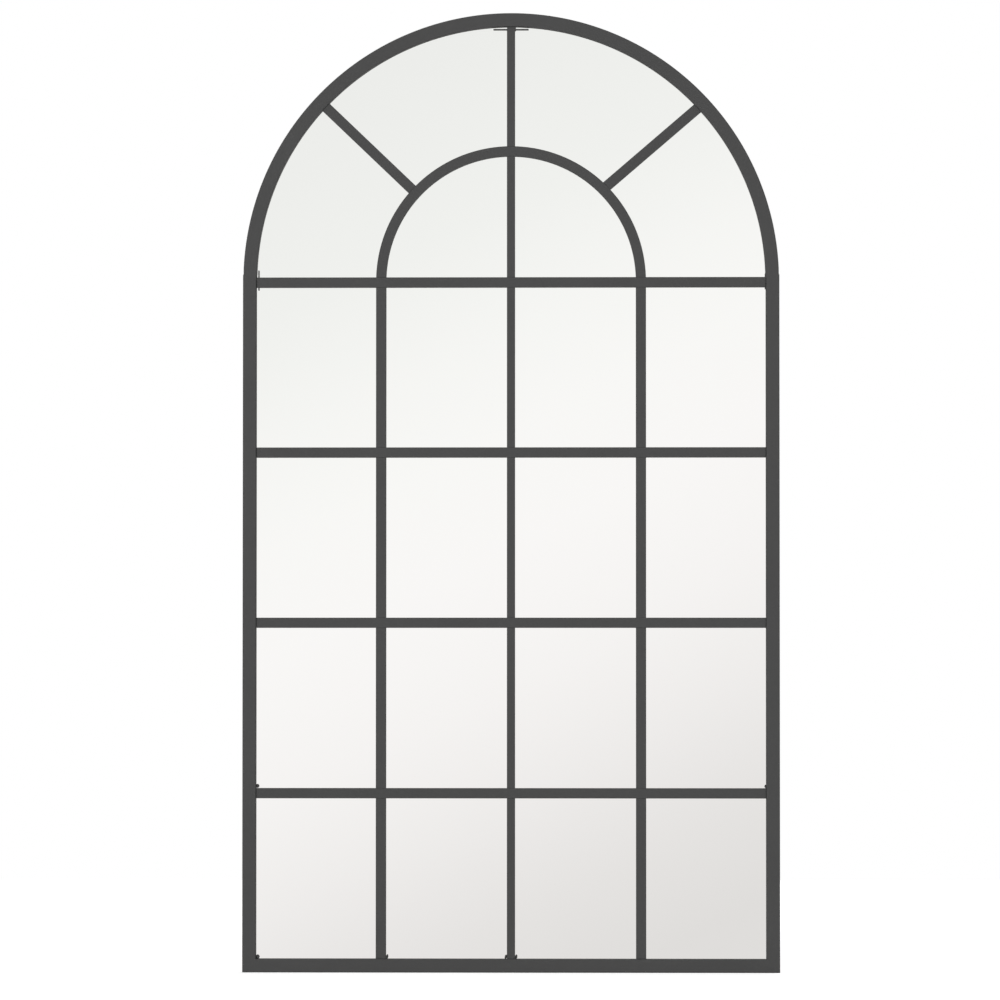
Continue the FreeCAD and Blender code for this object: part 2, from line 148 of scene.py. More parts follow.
class MirrorPlateSettings(bpy.types.PropertyGroup):
    wing_drop: length_setting(
        "Wing drop", "How far the wings of the crown plate hang under their drawn place", 0.0012)
    left_set: length_setting("Left set", "How far the left plate leans away from the stile", 0.0008)
    right_spread: length_setting("Right spread", "Extra thickness of the right plate with its weld", 0.0010)


class MirrorFixingSettings(bpy.types.PropertyGroup):
    recess: length_setting("Recess depth", "Depth of the cross in a screw's head", 0.0013)
    strip_bend: length_setting("Strip bend", "Inside radius of a bend in a retaining clip", 0.0009)
    wire: length_setting("Ring wire", "Diameter of the hanging rings' wire", 0.0039)
    seed: IntProperty(name="Seed", description="Seed of the angles at which the screws stopped", default=3)


class MirrorStudioSettings(bpy.types.PropertyGroup):
    room_light: FloatProperty(
        name="Room light", description="Strength of the even light from all round", min=0, default=0.5)
    key_power: FloatProperty(
        name="Key power", description="Power of the large lamp at the left", subtype="POWER", default=230)
    fill_power: FloatProperty(
        name="Fill power", description="Power of the large lamp at the right", subtype="POWER", default=140)
    camera_distance: length_setting("Camera distance", "Camera to the mirror's plane", 12.0)
    lens: FloatProperty(
        name="Lens", description="Focal length", subtype="DISTANCE_CAMERA", default=232.01)


SETTINGS = {
    "mirror_finish": MirrorFinishSettings,
    "mirror_tube": MirrorTubeSettings,
    "mirror_weld": MirrorWeldSettings,
    "mirror_plate": MirrorPlateSettings,
    "mirror_fixing": MirrorFixingSettings,
    "mirror_studio": MirrorStudioSettings,
}


# ---------------------------------------------------------------- node trees
class Tree:
    """A node tree under construction: nodes are added by type, and inputs take values or sockets."""

    def __init__(self, tree):
        self.tree = tree

    def add(self, kind, inputs=None, **settings):
        node = self.tree.nodes.new(kind)
        for name, value in settings.items():
            setattr(node, name, value)
        for key, value in (inputs or {}).items():
            socket = node.inputs[key]
            if isinstance(value, bpy.types.NodeSocket):
                self.tree.links.new(value, socket)
            else:
                socket.default_value = value
        return node

    def join(self, *geometries):
        node = self.tree.nodes.new("GeometryNodeJoinGeometry")
        for geometry in reversed(geometries):
            self.tree.links.new(geometry, node.inputs[0])
        return node.outputs[0]

    def math(self, operation, first, second=0.0):
        return self.add("ShaderNodeMath", {0: first, 1: second}, operation=operation).outputs[0]

    def plus(self, first, second):
        return self.math("ADD", first, second)

    def minus(self, first, second):
        return self.math("SUBTRACT", first, second)

    def times(self, first, second):
        return self.math("MULTIPLY", first, second)

    def vector(self, x=0.0, y=0.0, z=0.0):
        return self.add("ShaderNodeCombineXYZ", {0: x, 1: y, 2: z}).outputs[0]

    def position(self):
        """The x, y and z of each point."""
        return self.add("ShaderNodeSeparateXYZ", {0: self.add("GeometryNodeInputPosition").outputs[0]}).outputs

    def placed(self, geometry, position):
        return self.add("GeometryNodeSetPosition", {0: geometry, "Position": position}).outputs[0]

    def rotation(self, euler):
        return self.add("FunctionNodeEulerToRotation", {0: euler}).outputs[0]

    def named(self, name):
        """A vector stored at each point under a name."""
        return self.add("GeometryNodeInputNamedAttribute", {"Name": name}, data_type="FLOAT_VECTOR").outputs[0]

    def shape_of(self, thing):
        """Geometry of an object, in the object's own space."""
        return self.add("GeometryNodeObjectInfo", {"Object": thing}, transform_space="ORIGINAL").outputs["Geometry"]

    def rectangle(self, width, height):
        return self.add("GeometryNodeCurvePrimitiveQuadrilateral", {
            "Width": width, "Height": height}, mode="RECTANGLE").outputs[0]

    def on_points(self, mesh, instance, rotation, scale=(1, 1, 1)):
        """Instances on the points of a mesh."""
        points = self.add("GeometryNodeMeshToPoints", {0: mesh})
        return self.add("GeometryNodeInstanceOnPoints", {
            "Points": points.outputs[0], "Instance": instance, "Rotation": rotation, "Scale": scale}).outputs[0]


def geometry_tree(name, sockets):
    """Builder and group inputs of a new Geometry Nodes tree with a material and the named inputs of each kind."""
    tree = bpy.data.node_groups.new(name, "GeometryNodeTree")
    for kind, names in {"Geometry": ["Geometry"], **sockets, "Material": ["Material"]}.items():
        for socket_name in names:
            tree.interface.new_socket(socket_name, in_out="INPUT", socket_type=f"NodeSocket{kind}")
    tree.interface.new_socket("Geometry", in_out="OUTPUT", socket_type="NodeSocketGeometry")
    return Tree(tree), tree.nodes.new("NodeGroupInput").outputs


def finish_tree(build, geometry, inputs, smooth=False):
    """Close a tree as every tree ends: instances made real, and the material set."""
    if smooth:
        geometry = build.add("GeometryNodeSetShadeSmooth", {0: geometry, "Shade Smooth": True}).outputs[0]
    real = build.add("GeometryNodeRealizeInstances", {0: geometry})
    painted = build.add("GeometryNodeSetMaterial", {0: real.outputs[0], "Material": inputs["Material"]})
    build.tree.links.new(painted.outputs[0], build.tree.nodes.new("NodeGroupOutput").inputs[0])
    return build


def new_object(name, data):
    thing = bpy.data.objects.new(name, data)
    bpy.context.scene.collection.objects.link(thing)
    return thing


def shells_mesh(name, shells):
    """Mesh of several shells, each given as its corners and its faces."""
    verts, faces = [], []
    for more_verts, more_faces in shells:
        faces += [tuple(index + len(verts) for index in face) for face in more_faces]
        verts += more_verts
    mesh = bpy.data.meshes.new(name)
    mesh.from_pydata(verts, [], faces)
    return mesh


def eased(width, degrees):
    """Bevel on the edges sharper than an angle."""
    return "BEVEL", {"width": width, "segments": 2, "limit_method": "ANGLE", "angle_limit": math.radians(degrees)}


def modified(thing, *modifiers):
    """Give an object modifiers, each a kind and its settings, and keep the plain mesh that they make."""
    for kind, settings in modifiers:
        extra = thing.modifiers.new(kind, kind)
        for key, value in settings.items():
            setattr(extra, key, value)
    return made_plain(thing)


def grown(name, build, slot, values, start=None, *modifiers):
    """Object with the plain mesh that a Geometry Nodes tree, and any later modifiers, give."""
    values["Material"] = finish_for(slot)
    thing = new_object(name, start or bpy.data.meshes.new(name))
    modifier = thing.modifiers.new("Nodes", "NODES")
    modifier.node_group = build.tree
    for item in build.tree.interface.items_tree:
        if item.in_out == "INPUT" and item.name in values:
            modifier[item.identifier] = values[item.name]
    return modified(thing, *modifiers)


def made_plain(thing):
    """Swap an object's mesh for its evaluated one and take its modifiers off."""
    bpy.context.view_layer.update()
    depsgraph = bpy.context.evaluated_depsgraph_get()
    mesh = bpy.data.meshes.new_from_object(thing.evaluated_get(depsgraph), depsgraph=depsgraph)
    thing.modifiers.clear()
    old = thing.data
    thing.data = mesh
    mesh.name = thing.name
    bpy.data.meshes.remove(old)
    return thing


def places_mesh(name, places):
    """Mesh of loose points with a turn and a size at each, for instances to stand on."""
    mesh = bpy.data.meshes.new(name)
    mesh.from_pydata([place[0] for place in places], [], [])
    for attribute, column in (("turn", 1), ("size", 2)):
        values = mesh.attributes.new(attribute, "FLOAT_VECTOR", "POINT")
        values.data.foreach_set("vector", [number for place in places for number in place[column]])
    return mesh


def keep(thing, body, slot, *nodes):
    """Ride a finished piece on its body, in place of its CAD nodes."""
    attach(thing, body)
    if nodes:
        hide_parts(*nodes)
    return thing


# ---------------------------------------------------------------- materials
FINISHES = {
    "powder_coat": "charcoal_coat",
    "mirror_glass": "silvered_glass",
    "hardboard": "brown_hardboard",
    "zinc_steel": "zinc_plate",
    "nickel_steel": "nickel_plate",
    "black_rubber": "moulded_rubber",
    "foam_tape": "closed_foam",
}


def finish_for(slot):
    return bpy.data.materials[FINISHES[slot]]


def material(name, values):
    """New material with its builder and its principled shader, whose inputs start at some values."""
    made = bpy.data.materials.new(name)
    made.use_nodes = True
    shader = made.node_tree.nodes["Principled BSDF"]
    for key, value in values.items():
        shader.inputs[key].default_value = value
    return made, Tree(made.node_tree), shader


def noise(build, size, detail=2.0, stretch=(1, 1, 1), roughness=0.5):
    """Noise on object coordinates whose features are about one size wide, in metres."""
    coordinates = build.add("ShaderNodeTexCoord").outputs["Object"]
    scaled = build.add("ShaderNodeMapping", {"Vector": coordinates, "Scale": stretch})
    return build.add("ShaderNodeTexNoise", {
        "Vector": scaled.outputs[0], "Scale": 1 / size, "Detail": detail, "Roughness": roughness}).outputs[0]


def spread(build, value, low, high):
    """A noise's middle range spread between two numbers."""
    return build.add("ShaderNodeMapRange", {
        "Value": value, "From Min": 0.3, "From Max": 0.7, "To Min": low, "To Max": high}).outputs[0]


def blend(build, factor, first, second):
    """Mix of two colours, each given as a colour or as a socket."""
    ends = [end if isinstance(end, bpy.types.NodeSocket) else (*end, 1) for end in (first, second)]
    mixed = build.add("ShaderNodeMix", {"Factor": factor, "A": ends[0], "B": ends[1]}, data_type="RGBA")
    return next(socket for socket in mixed.outputs if socket.type == "RGBA")


def shaded(colour, factor):
    return tuple(min(1.0, channel * factor) for channel in colour)


def bump(build, shader, height, depth, normal=None):
    """Relief of a given depth in metres."""
    inputs = {"Height": height, "Distance": depth, "Strength": 1.0}
    if normal is not None:
        inputs["Normal"] = normal
    node = build.add("ShaderNodeBump", inputs)
    build.tree.links.new(node.outputs[0], shader.inputs["Normal"])
    return node.outputs[0]


def link(build, output, shader, name):
    build.tree.links.new(output, shader.inputs[name])


def clouded(build, shader, cloud, colour, dark, light):
    """Base colour that drifts between a darker and a lighter shade of one colour."""
    shades = blend(build, spread(build, cloud, 0, 1), shaded(colour, dark), shaded(colour, light))
    link(build, shades, shader, "Base Color")


def powder_coat(finish):
    made, build, shader = material(FINISHES["powder_coat"], {"Specular IOR Level": 0.35})
    clouded(build, shader, noise(build, 0.16, 3), finish.coat_colour, 0.96, 1.04)
    base = finish.coat_roughness
    link(build, spread(build, noise(build, 0.02, 3), base - 0.04, base + 0.04), shader, "Roughness")
    fine = bump(build, shader, noise(build, finish.coat_grain, 2), 0.00006)
    bump(build, shader, noise(build, 0.006, 1), 0.00005, fine)
    return made


def silvered_glass(finish):
    """Silver as seen through the front, with a ground edge and grey paint on the back."""
    made, build, shader = material(FINISHES["mirror_glass"], {})
    depth = build.add("ShaderNodeSeparateXYZ", {0: build.add("ShaderNodeTexCoord").outputs["Object"]}).outputs[1]
    edge = build.math("GREATER_THAN", depth, GLASS_FRONT + 0.2 * MM)
    back = build.math("GREATER_THAN", depth, GLASS_BACK - 0.1 * MM)
    paint = blend(build, spread(build, noise(build, 0.012, 4), 0, 1), (0.10, 0.105, 0.105), (0.13, 0.135, 0.135))
    ground_edge = (0.09, 0.15, 0.13)
    glass = blend(build, edge, finish.silver_colour, ground_edge)
    link(build, blend(build, back, glass, paint), shader, "Base Color")
    link(build, build.minus(1.0, edge), shader, "Metallic")
    haze = spread(build, noise(build, 0.11, 4), 0.0, 0.022)
    link(build, build.math("MAXIMUM", haze, build.times(edge, 0.5)), shader, "Roughness")
    return made


def hardboard(finish):
    made, build, shader = material(FINISHES["hardboard"], {"Specular IOR Level": 0.3})
    colour = finish.board_colour
    fibres = noise(build, 0.0035, 5, (1, 1, 0.3), 0.65)
    mottle = noise(build, 0.07, 4)
    near = blend(build, spread(build, mottle, 0, 1), shaded(colour, 0.86), shaded(colour, 1.12))
    mixed = blend(build, spread(build, fibres, 0, 0.5), near, shaded(colour, 1.75))
    fleck = noise(build, 0.0016, 1, (1, 1, 0.45))
    dark = build.add("ShaderNodeMapRange", {"Value": fleck, "From Min": 0.66, "From Max": 0.74}).outputs[0]
    link(build, blend(build, dark, mixed, shaded(colour, 0.45)), shader, "Base Color")
    link(build, spread(build, mottle, 0.62, 0.78), shader, "Roughness")
    bump(build, shader, fibres, 0.00012)
    return made


def plated(slot, colour, rough, streak):
    """Bright plated steel, with the faint streaks of the strip or wire under the plating."""
    made, build, shader = material(FINISHES[slot], {"Metallic": 1.0})
    clouded(build, shader, noise(build, 0.004, 3), colour, 0.88, 1.1)
    link(build, spread(build, noise(build, 0.0015, 3), rough - 0.07, rough + 0.08), shader, "Roughness")
    bump(build, shader, noise(build, 0.0006, 2, streak), 0.00001)
    return made


def rubber(slot, colour, cell, depth):
    made, build, shader = material(FINISHES[slot], {"Specular IOR Level": 0.3})
    cells = noise(build, cell, 3)
    clouded(build, shader, cells, colour, 0.7, 1.3)
    link(build, spread(build, noise(build, 0.005, 2), 0.62, 0.8), shader, "Roughness")
    bump(build, shader, cells, depth)
    return made


class MIRROR_OT_finishes(bpy.types.Operator):
    """Make the finishes and put them on the CAD nodes, by their slots"""
    bl_idname = "window_mirror.finishes"
    bl_label = "Finishes"

    def execute(self, context):
        finish = context.scene.mirror_finish
        made = {
            "powder_coat": powder_coat(finish),
            "mirror_glass": silvered_glass(finish),
            "hardboard": hardboard(finish),
            "zinc_steel": plated("zinc_steel", finish.zinc_colour, 0.36, (1, 1, 0.2)),
            "nickel_steel": plated("nickel_steel", finish.nickel_colour, 0.24, (0.3, 1, 1)),
            "black_rubber": rubber("black_rubber", (0.022, 0.022, 0.022), 0.0009, 0.00004),
            "foam_tape": rubber("foam_tape", (0.05, 0.05, 0.05), 0.0006, 0.00015),
        }
        for part in frame["record"]["subparts"]:
            node = frame["nodes"][part["node"]]
            node.data.materials.clear()
            node.data.materials.append(made[part["material_slot"]])
        return {"FINISHED"}


# ---------------------------------------------------------------- frame
def arc_points(centre, radius, start, end, steps):
    """Points (x, z) on an arc, with angles in degrees from +X towards +Z."""
    angles = [math.radians(start + (end - start) * step / steps) for step in range(steps + 1)]
    return [(centre[0] + radius * math.cos(angle), centre[1] + radius * math.sin(angle)) for angle in angles]


def helper_curve(name, points, cyclic=False):
    """Poly curve for a tree to read. It is removed when the piece is made."""
    data = bpy.data.curves.new(name, "CURVE")
    data.dimensions = "3D"
    spline = data.splines.new("POLY")
    spline.points.add(len(points) - 1)
    for point, place in zip(spline.points, points):
        point.co = (*place, 1)
    spline.use_cyclic_u = cyclic
    return new_object(name, data)


def square_profile(size, corner, steps=5, ease=0.0004):
    """Outline of a square section with round corners, and a point on each flat close to its corners."""
    half = size / 2 - corner
    points = []
    for quarter in range(4):
        start = quarter * 90
        cx, cy = half * (1, -1, -1, 1)[quarter], half * (1, 1, -1, -1)[quarter]
        arc = arc_points((cx, cy), corner, start, start + 90, steps)
        before, after = (
            Vector((math.cos(math.radians(way)), math.sin(math.radians(way)))) * ease
            for way in (start - 90, start + 180))
        first, last = Vector(arc[0]) + before, Vector(arc[-1]) + after
        points += [tuple(first)] + arc + [tuple(last)]
    return [(x, y, 0) for x, y in points]


def tube_tree():
    """Profile swept along a path, with its ends cut to the mitre at the lower corners."""
    build, inputs = geometry_tree("tube_along_path", {
        "Object": ("Path", "Profile"), "Float": ("Half width", "Is rail")})
    swept = build.add("GeometryNodeCurveToMesh", {
        0: build.shape_of(inputs["Path"]), 1: build.shape_of(inputs["Profile"]), "Fill Caps": False})
    x, y, z = build.position()
    rail, level = inputs["Is rail"], 1e-5
    reach = build.minus(inputs["Half width"], build.math("ABSOLUTE", x))
    foot = build.math("LESS_THAN", z, level)
    stile_z = build.plus(z, build.times(foot, reach))
    end = build.math("LESS_THAN", reach, level)
    rail_x = build.minus(x, build.times(build.times(build.math("SIGN", x), end), z))
    new_x = build.plus(x, build.times(rail, build.minus(rail_x, x)))
    new_z = build.plus(z, build.times(build.minus(1.0, rail), build.minus(stile_z, z)))
    mitred = build.placed(swept.outputs[0], build.vector(new_x, y, new_z))
    return finish_tree(build, mitred, inputs, smooth=True)


class MIRROR_OT_tube(bpy.types.Operator):
    """Sweep the square tube up the stiles and round the arch, and along the bottom rail"""
    bl_idname = "window_mirror.tube"
    bl_label = "Frame tube"

    def execute(self, context):
        settings = context.scene.mirror_tube
        seam = SPRINGING + settings.seam_height
        radius = STILE_MIDDLE - settings.arch_inset
        rise = math.degrees(math.asin(settings.seam_height / radius))
        arch = arc_points((0, SPRINGING + settings.arch_rise), radius, rise, 180 - rise, settings.arch_steps)
        jog = 1.4 * MM
        right = [(STILE_MIDDLE, 0), (STILE_MIDDLE, seam - jog)]
        left = [(-x, z) for x, z in reversed(right)]
        around = [(x, 0, z) for x, z in right + arch + left]
        across = [(x * HALF_WIDTH, 0, TUBE / 2) for x in (-1, 1)]
        build = tube_tree()
        profile = helper_curve("tube_profile", square_profile(TUBE, settings.corner), cyclic=True)
        for name, points, is_rail, nodes in (
                ("frame_arch_tube", around, 0.0, ("arch_rail", "left_stile", "right_stile")),
                ("frame_bottom_tube", across, 1.0, ("bottom_rail",))):
            path = helper_curve("tube_path", points)
            piece = grown(name, build, "powder_coat", {
                "Path": path, "Profile": profile, "Half width": HALF_WIDTH, "Is rail": is_rail})
            outwards(piece.data)
            smooth_by_angle(piece, 25)
            keep(piece, ROOT, "powder_coat", *nodes)
            bpy.data.objects.remove(path)
        bpy.data.objects.remove(profile)
        return {"FINISHED"}


def outwards(mesh):
    """Close any open rim and face a closed shell outwards."""
    shell = bmesh.new()
    shell.from_mesh(mesh)
    bmesh.ops.remove_doubles(shell, verts=shell.verts, dist=1e-7)
    rims = [edge for edge in shell.edges if edge.is_boundary]
    if rims:
        bmesh.ops.holes_fill(shell, edges=rims, sides=0)
    bmesh.ops.recalc_face_normals(shell, faces=shell.faces)
    shell.to_mesh(mesh)
    shell.free()


# ---------------------------------------------------------------- welds
# Middle x and z, width and height of each bead that stands proud at the front, in millimetres.
BEADS = (
    (473.4, 345.6, 3.6, 6.4),
    (-472.2, 346.6, 6.8, 7.0),
    (-230.6, 29.4, 4.4, 8.6),
    (-9.6, 29.2, 4.2, 8.0),
    (9.6, 29.2, 4.2, 8.0),
    (-471.6, 29.0, 7.0, 8.0),
)


def bead_tree(name, shape):
    """Lumpy beads on the points of a mesh, each of its own size and turn: round ones, or runs along a seam."""
    build, inputs = geometry_tree(name, {"Float": ("Relief", "Lump", "Seed")})
    if shape == "round":
        bead = build.add("GeometryNodeMeshIcoSphere", {"Radius": 0.5, "Subdivisions": 4})
    else:
        bead = build.add("GeometryNodeMeshCube", {
            "Size": (1, 1, 1), "Vertices X": 3, "Vertices Y": 4, "Vertices Z": 25})
    beads = build.on_points(
        inputs["Geometry"], bead.outputs[0], build.rotation(build.named("turn")), build.named("size"))
    real = build.add("GeometryNodeRealizeInstances", {0: beads})
    lumps = build.add("ShaderNodeTexNoise", {
        "Vector": build.add("GeometryNodeInputPosition").outputs[0],
        "Scale": build.math("DIVIDE", 1.0, inputs["Lump"]), "Detail": 2.0, "W": inputs["Seed"]},
        noise_dimensions="4D")
    height = build.times(build.minus(lumps.outputs[0], 0.5), inputs["Relief"])
    normal = build.add("GeometryNodeInputNormal").outputs[0]
    offset = build.add("ShaderNodeVectorMath", {0: normal, "Scale": height}, operation="SCALE")
    lumpy = build.add("GeometryNodeSetPosition", {0: real.outputs[0], "Offset": offset.outputs[0]})
    return finish_tree(build, lumpy.outputs[0], inputs, smooth=True)


def seam_places():
    """Runs in the gaps where the bars meet the tube: deep at the level bars' ends, shallow at the uprights' feet."""
    places = []
    for node in LEVEL_BARS:
        low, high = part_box(node)
        for side in (-1, 1):
            middle = side * (CLEAR_HALF - END_GAP / 2)
            places.append(seam_run(middle, (low.z + high.z) / 2, high.z - low.z, 0, 3.0))
    for node in UPRIGHT_BARS:
        low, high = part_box(node)
        places.append(seam_run((low.x + high.x) / 2, TUBE + END_GAP / 2, high.x - low.x, 90, 1.6))
    return places


def seam_run(x, z, length, lean, recess):
    """Place, turn and size of one run. The recess, in millimetres, is how far it lies behind the bar's front."""
    front = BAR_FRONT + recess * MM
    width, ends = 0.66 * MM, 0.4 * MM
    return (x, (front + BAR_BACK) / 2, z), (0.0, math.radians(lean), 0.0), (width, BAR_BACK - front, length - ends)


class MIRROR_OT_welds(bpy.types.Operator):
    """Put the weld beads that stand proud in the corners between the bars and the frame, and fill the seams"""
    bl_idname = "window_mirror.welds"
    bl_label = "Weld beads"

    def execute(self, context):
        settings = context.scene.mirror_weld
        depth, thick = (BAR_FRONT + BAR_BACK) / 2 + 0.3 * MM, 5.4 * MM
        proud = []
        for index, (x, z, width, height) in enumerate(BEADS):
            lean = math.radians((index * 37) % 40 - 20)
            proud.append(((x * MM, depth, z * MM), (0.0, lean, 0.0), (width * MM, thick, height * MM)))
        for name, shape, places, relief, lump in (
                ("weld_beads", "round", proud, settings.roughness * 4, 2.4 * MM),
                ("weld_seams", "run", seam_places(), settings.roughness * 0.5, 1.2 * MM)):
            piece = grown(name, bead_tree(name, shape), "powder_coat", {
                "Relief": relief, "Lump": lump, "Seed": float(settings.seed)}, places_mesh(f"{name}_places", places))
            keep(piece, ROOT, "powder_coat")
        return {"FINISHED"}


# ---------------------------------------------------------------- seal round the glass
def seal_tree():
    """Flat-sided bead along a closed path."""
    build, inputs = geometry_tree("glass_seal", {"Object": ("Path",), "Float": ("Width", "Depth")})
    bead = build.add("GeometryNodeCurveToMesh", {
        0: build.shape_of(inputs["Path"]), 1: build.rectangle(inputs["Depth"], inputs["Width"])})
    return finish_tree(build, bead.outputs[0], inputs)


class MIRROR_OT_seal(bpy.types.Operator):
    """Run the dark seal round the glass, between its edge and the tube"""
    bl_idname = "window_mirror.seal"
    bl_label = "Glass seal"

    def execute(self, context):
        width, depth = 2.0 * MM, BOARD_FRONT - GLASS_BACK
        inset = width / 2 - 0.2 * MM
        level = (GLASS_BACK + BOARD_FRONT) / 2
        half = CLEAR_HALF - inset
        arch = arc_points((0, SPRINGING), half, 0, 180, 96)
        loop = [(half, TUBE + inset)] + arch + [(-half, TUBE + inset)]
        path = helper_curve("seal_path", [(x, level, z) for x, z in loop], cyclic=True)
        piece = grown("glass_seal_bead", seal_tree(), "black_rubber", {
            "Path": path, "Width": width, "Depth": depth})
        outwards(piece.data)
        smooth_by_angle(piece, 35)
        keep(piece, ROOT, "black_rubber")
        bpy.data.objects.remove(path)
        return {"FINISHED"}


# ---------------------------------------------------------------- centre bar
def merged_copy(*nodes):
    """Copy of the meshes of some CAD nodes, with doubled corners merged and flat faces whole."""
    shell = bmesh.new()
    for node in nodes:
        shell.from_mesh(frame["nodes"][node].data)
    bmesh.ops.remove_doubles(shell, verts=shell.verts, dist=1e-6)
    bmesh.ops.dissolve_limit(shell, angle_limit=math.radians(1), verts=shell.verts, edges=shell.edges)
    return shell


def coated(name, shell):
    """New object with the mesh of a shell, faced outwards, in the powder coat."""
    mesh = bpy.data.meshes.new(name)
    shell.to_mesh(mesh)
    shell.free()
    outwards(mesh)
    mesh.materials.append(finish_for("powder_coat"))
    return new_object(name, mesh)


class MIRROR_OT_centre_bar(bpy.types.Operator):
    """Make the centre bar, and close the stray lap that its solid has under the springing bar"""
    bl_idname = "window_mirror.centre_bar"
    bl_label = "Centre bar"

    def execute(self, context):
        half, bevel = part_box("centre_bar")[1].x, 0.5 * MM
        back = (BAR_FRONT + BAR_BACK) / 2 + 0.3 * MM
        section = [(-half, back), (-half, BAR_FRONT + bevel), (bevel - half, BAR_FRONT),
                   (half - bevel, BAR_FRONT), (half, BAR_FRONT + bevel), (half, back)]
        low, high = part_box("left_bar")
        foot = 2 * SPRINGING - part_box("inner_arch")[1].z - 0.15 * MM
        top = foot + high.x - low.x + 0.45 * MM
        plug = bmesh.new()
        rings = [[plug.verts.new((x, y, z)) for x, y in section] for z in (foot, top)]
        plug.faces.new(rings[0])
        plug.faces.new(reversed(rings[1]))
        for index in range(len(section)):
            after = (index + 1) % len(section)
            plug.faces.new((rings[0][index], rings[0][after], rings[1][after], rings[1][index]))
        filler = coated("centre_bar_plug", plug)
        piece = coated("centre_bar_whole", merged_copy("centre_bar"))
        modified(piece, ("BOOLEAN", {"object": filler, "operation": "UNION", "solver": "EXACT"}))
        bpy.data.objects.remove(filler)
        outwards(piece.data)
        keep(piece, ROOT, "powder_coat", "centre_bar")
        return {"FINISHED"}


# ---------------------------------------------------------------- tie plates
def set_over(mesh, chosen, *move):
    """Move the chosen corners of a merged copy of a CAD mesh."""
    for vert in mesh.verts:
        if chosen(vert.co):
            vert.co += Vector(move)


class MIRROR_OT_plates(bpy.types.Operator):
    """Set the thin plates at the crown and at the springing line, as they stand after welding"""
    bl_idname = "window_mirror.plates"
    bl_label = "Tie plates"

    def execute(self, context):
        settings = context.scene.mirror_plate
        shell = merged_copy("crown_plate", "springing_plates")
        low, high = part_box("crown_plate")
        wings, shift_back = (low.z + high.z) / 2, 0.05 * MM
        left, right = 1.4 * MM - CLEAR_HALF, CLEAR_HALF - 0.7 * MM
        set_over(shell, lambda place: abs(place.z - wings) < 2 * MM, 0, 0, -settings.wing_drop)
        set_over(shell, lambda place: left < place.x < 0 and place.z < low.z, settings.left_set, 0, 0)
        set_over(shell, lambda place: 0 < place.x < right and place.z < low.z, -settings.right_spread, 0, 0)
        set_over(shell, lambda place: True, 0, shift_back, 0)
        piece = coated("tie_plates_set", shell)
        keep(piece, ROOT, "powder_coat", "crown_plate", "springing_plates")
        return {"FINISHED"}


# ---------------------------------------------------------------- screws
def screw_tree():
    """Pan-head screws on the points of a mesh, each with a cross recess and turned by chance."""
    build, inputs = geometry_tree("pan_head_screws", {
        "Float": ("Head", "Height", "Shank", "Length", "Recess"), "Int": ("Seed",)})
    head, height = inputs["Head"], inputs["Height"]
    radius = build.times(head, 0.5)
    blank = build.add("GeometryNodeMeshCylinder", {
        "Vertices": 40, "Side Segments": 4, "Fill Segments": 7, "Radius": radius, "Depth": height})
    x, y, z = build.position()
    across = build.math("SQRT", build.plus(build.times(x, x), build.times(y, y)))
    share = build.math("DIVIDE", across, radius)
    up = build.math("DIVIDE", build.plus(z, build.times(height, 0.5)), height)
    fall = build.times(build.math("POWER", share, 3.0), 0.34)
    dome_z = build.times(build.times(up, build.minus(1.0, fall)), height)
    narrow = build.minus(1.0, build.times(build.math("POWER", up, 3.0), 0.16))
    dome = build.vector(build.times(x, narrow), build.times(y, narrow), dome_z)
    domed = build.placed(blank.outputs[0], dome)
    long_side, short_side = build.times(head, 0.56), build.times(head, 0.13)
    cut = build.add("GeometryNodeMeshBoolean", {0: domed}, operation="DIFFERENCE", solver="EXACT")
    for sides in ((long_side, short_side), (short_side, long_side)):
        size = build.vector(*sides, build.times(inputs["Recess"], 2.0))
        cube = build.add("GeometryNodeMeshCube", {"Size": size})
        x, y, z = build.position()
        pinch = build.minus(1.0, build.times(build.math("LESS_THAN", z, 0.0), 0.45))
        tapered = build.vector(build.times(x, pinch), build.times(y, pinch), build.plus(z, height))
        build.tree.links.new(build.placed(cube.outputs[0], tapered), cut.inputs[1])
    shank = build.add("GeometryNodeMeshCylinder", {
        "Vertices": 24, "Radius": build.times(inputs["Shank"], 0.5), "Depth": inputs["Length"]})
    drop = build.vector(z=build.times(inputs["Length"], -0.5))
    hung = build.add("GeometryNodeTransform", {0: shank.outputs[0], "Translation": drop})
    screw = build.join(cut.outputs[0], hung.outputs[0])
    spin = build.add(
        "FunctionNodeRandomValue", {"Min": 0.0, "Max": math.pi, "Seed": inputs["Seed"]}, data_type="FLOAT")
    spin_value = next(socket for socket in spin.outputs if socket.enabled)
    turn = build.rotation(build.vector(-math.pi / 2, spin_value))
    return finish_tree(build, build.on_points(inputs["Geometry"], screw, turn), inputs)


# Head diameter, head height, shank diameter and length of each node's screws, in millimetres.
SCREWS = (
    ("clip_screws", 6.9, 2.28, 3.4, 9.5),
    ("hanger_screws", 7.9, 2.58, 3.9, 13.0),
    ("bumper_screws", 7.9, 2.58, 3.9, 13.0),
)


